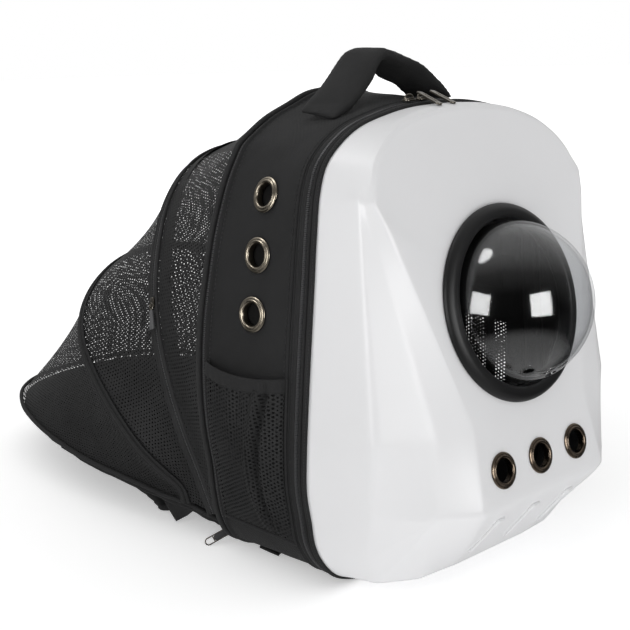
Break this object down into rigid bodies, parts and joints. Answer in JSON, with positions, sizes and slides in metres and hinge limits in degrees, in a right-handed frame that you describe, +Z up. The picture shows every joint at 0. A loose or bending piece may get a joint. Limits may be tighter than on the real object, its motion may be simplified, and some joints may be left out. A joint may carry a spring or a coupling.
{
  "type": "bubble pet carrier backpack",
  "caption": "Hard-fronted pet carrier backpack with a clear dome window, eyelet vents, a padded top handle and a netting tent folded out from its rear onto the lowered back panel.",
  "frame": {"origin": "middle of the flat base of the fabric gusset, on the floor", "axes": "+Z up, -Y out of the hard front shell and its dome, +Y towards the netting tent, +X to the right seen from the front"},
  "size_m": [0.3522, 0.7298, 0.4487],
  "materials": {
    "shell_white": "satin",
    "clear_acrylic": "gloss",
    "black_rubber": "satin",
    "black_fabric": "woven",
    "black_netting": "mesh",
    "dark_bronze": "satin",
    "antique_nickel": "satin",
    "black_plastic": "satin"
  },
  "bodies": {
    "root": {"front_shell": "shell_white", "window_ring": "black_rubber", "window_dome": "clear_acrylic", "shell_binding": "black_fabric", "gusset": "black_fabric", "rear_piping": "black_fabric", "carry_handle": "black_fabric", "tent_net_1": "black_netting", "tent_net_2": "black_netting", "tent_net_3": "black_netting", "hoop_1": "black_fabric", "hoop_2": "black_fabric", "back_panel": "black_fabric", "shoulder_strap_l": "black_fabric", "shoulder_strap_r": "black_fabric", "zip_slider_1": "antique_nickel", "zip_slider_2": "antique_nickel", "zip_pull_1": "antique_nickel", "zip_pull_2": "antique_nickel", "hoop_zip_pull": "black_plastic", "bottom_zip_pull": "antique_nickel", "front_grommet_1": "dark_bronze", "front_grommet_2": "dark_bronze", "front_grommet_3": "dark_bronze", "side_grommet_l1": "antique_nickel", "side_grommet_l2": "antique_nickel", "side_grommet_l3": "antique_nickel", "side_pocket_l": "black_netting", "pocket_band_l": "black_fabric", "side_grommet_r1": "antique_nickel", "side_grommet_r2": "antique_nickel", "side_grommet_r3": "antique_nickel", "side_pocket_r": "black_netting", "pocket_band_r": "black_fabric"}
  },
  "joints": []
}
